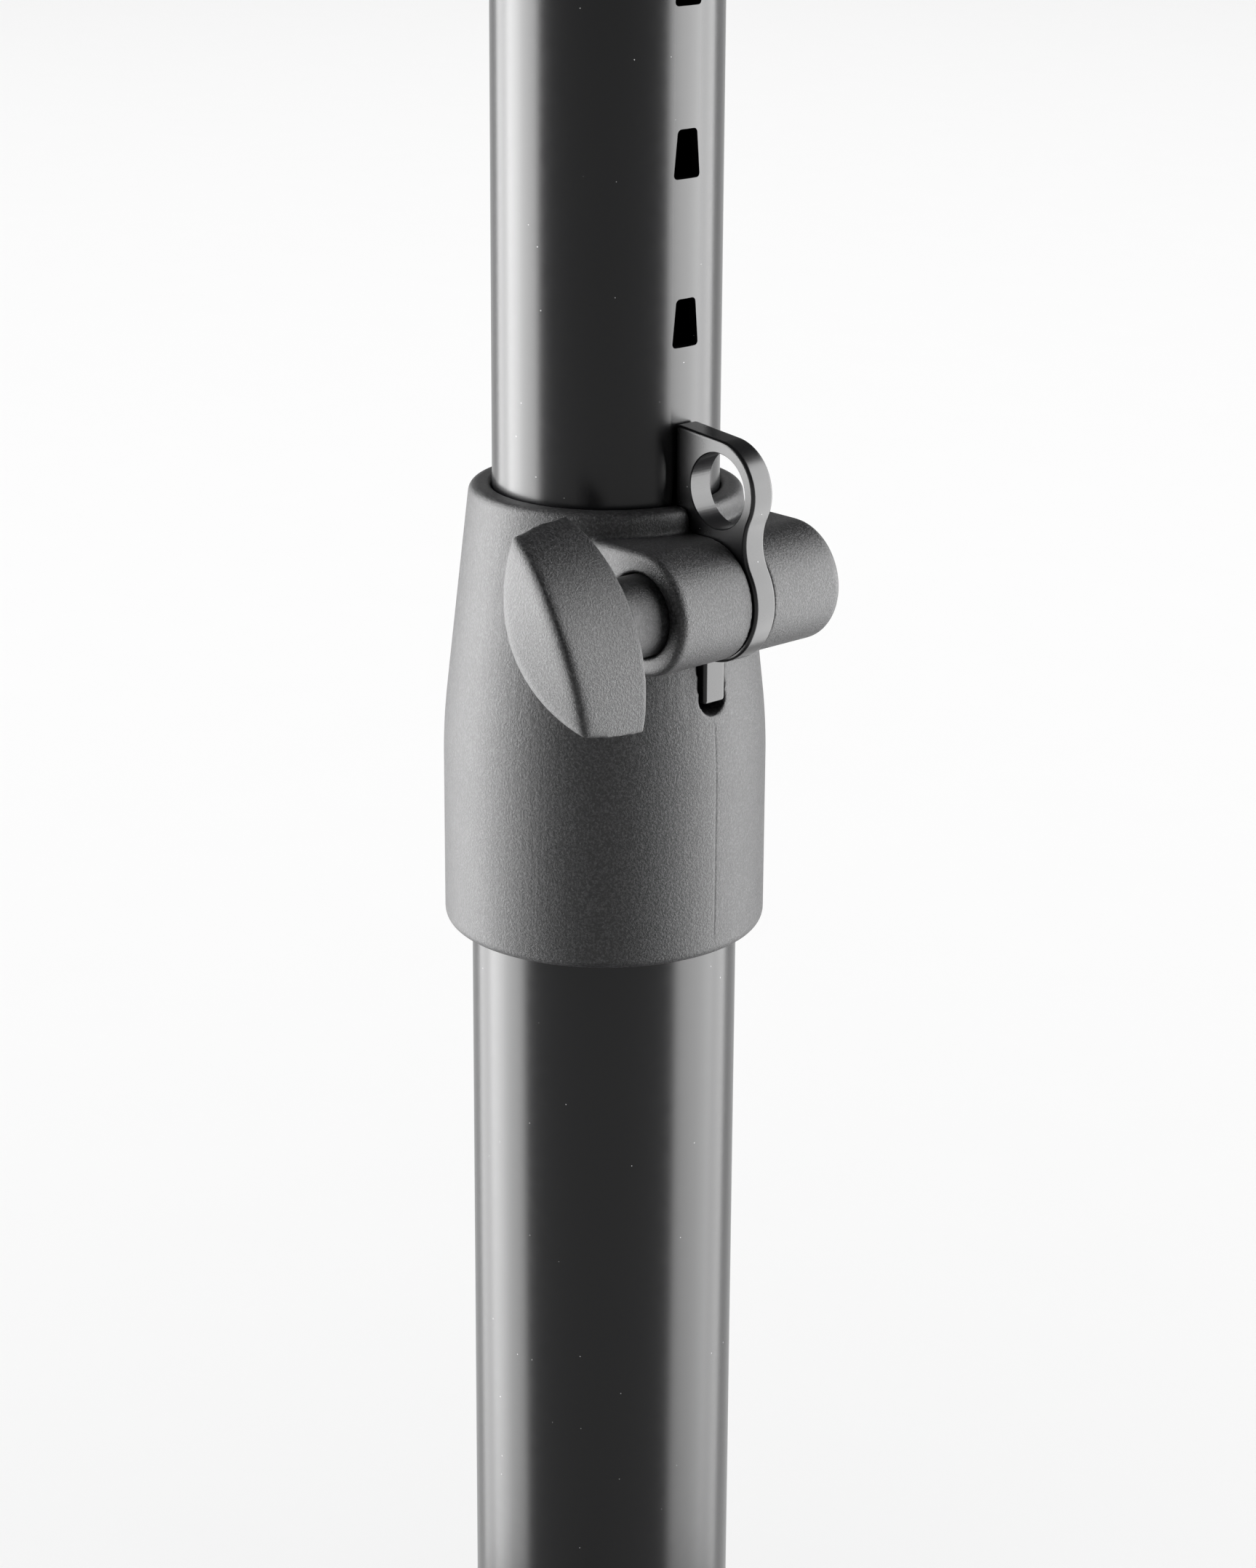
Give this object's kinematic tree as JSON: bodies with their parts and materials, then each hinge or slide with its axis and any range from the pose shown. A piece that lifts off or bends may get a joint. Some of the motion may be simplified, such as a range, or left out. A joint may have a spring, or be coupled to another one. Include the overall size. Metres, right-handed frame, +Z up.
{
  "type": "desktop studio monitor stand",
  "caption": "Desktop speaker stand: flat base, telescopic column with split clamp collar, wing knob and spring latch in trapezoid notches, and a tilting tray.",
  "frame": {"origin": "middle of the underside of the four feet, on the surface that the stand rests on, on the column's axis", "axes": "+Z up along the column; +X towards the latch; -Y towards the front, where the wing knob points"},
  "size_m": [0.22, 0.25, 0.4554],
  "materials": {
    "tube_coat": "smooth satin black powder coat on steel tube",
    "plate_coat": "fine-textured black powder coat on steel sheet",
    "cast_coat": "black powder coat on die-cast metal",
    "latch_coat": "satin black coat on steel plate with rounded edges",
    "nylon": "fine-eroded matte black glass-filled nylon",
    "rubber": "matte black rubber",
    "zinc_steel": "bright zinc-plated steel",
    "black_screw": "black oxide steel",
    "spring_steel": "drawn spring steel wire",
    "fibre": "pressed brown fibre",
    "brass_insert": "turned brass"
  },
  "bodies": {
    "stand_base": {"base_plate": "plate_coat", "base_feet": "rubber", "foot_screws": "zinc_steel", "column_foot_plug": "zinc_steel", "base_bolt": "zinc_steel", "outer_tube": "tube_coat", "guide_sleeve": "nylon", "clamp_collar": "nylon", "collar_screw": "black_screw", "clamp_nut": "zinc_steel", "thrust_washer": "black_screw", "latch_spring": "spring_steel"},
    "latch": {"latch_lever": "latch_coat"},
    "clamp_screw": {"clamp_bolt": "zinc_steel", "wing_knob": "nylon"},
    "upper_column": {"inner_tube": "tube_coat", "glide_ring": "nylon", "tilt_head": "cast_coat", "head_grub_screw": "black_screw", "tilt_bolt": "zinc_steel", "friction_washers": "fibre", "tilt_washer": "zinc_steel"},
    "tilt_clamp": {"tilt_knob": "nylon", "tilt_insert": "brass_insert"},
    "tray": {"tray_bracket": "cast_coat", "tray_plate": "plate_coat", "tray_screws": "black_screw", "tray_pads": "rubber"}
  },
  "joints": [
    {"name": "height_slide", "type": "slide", "parent": "stand_base", "child": "upper_column", "axis": [0, 0, 1], "range_m": [-0.075, 0.075]},
    {"name": "latch_swing", "type": "hinge", "parent": "stand_base", "child": "latch", "pos_m": [0.0255, 0, 0.28555], "axis": [0, 1, 0], "range_deg": [0, 12], "stiffness_Nm_per_rad": 0.05, "springref_deg": -20.05, "deforming": ["latch_spring"]},
    {"name": "clamp_knob_turn", "type": "hinge", "parent": "stand_base", "child": "clamp_screw", "pos_m": [0.0255, 0, 0.28555], "axis": [0, -1, 0], "range_deg": [0, 360]},
    {"name": "tray_tilt", "type": "hinge", "parent": "upper_column", "child": "tray", "pos_m": [0, 0, 0.42445], "axis": [1, 0, 0], "range_deg": [-15, 15]},
    {"name": "tilt_knob_turn", "type": "hinge", "parent": "upper_column", "child": "tilt_clamp", "pos_m": [0, 0, 0.42445], "axis": [1, 0, 0], "range_deg": [0, 360]}
  ]
}
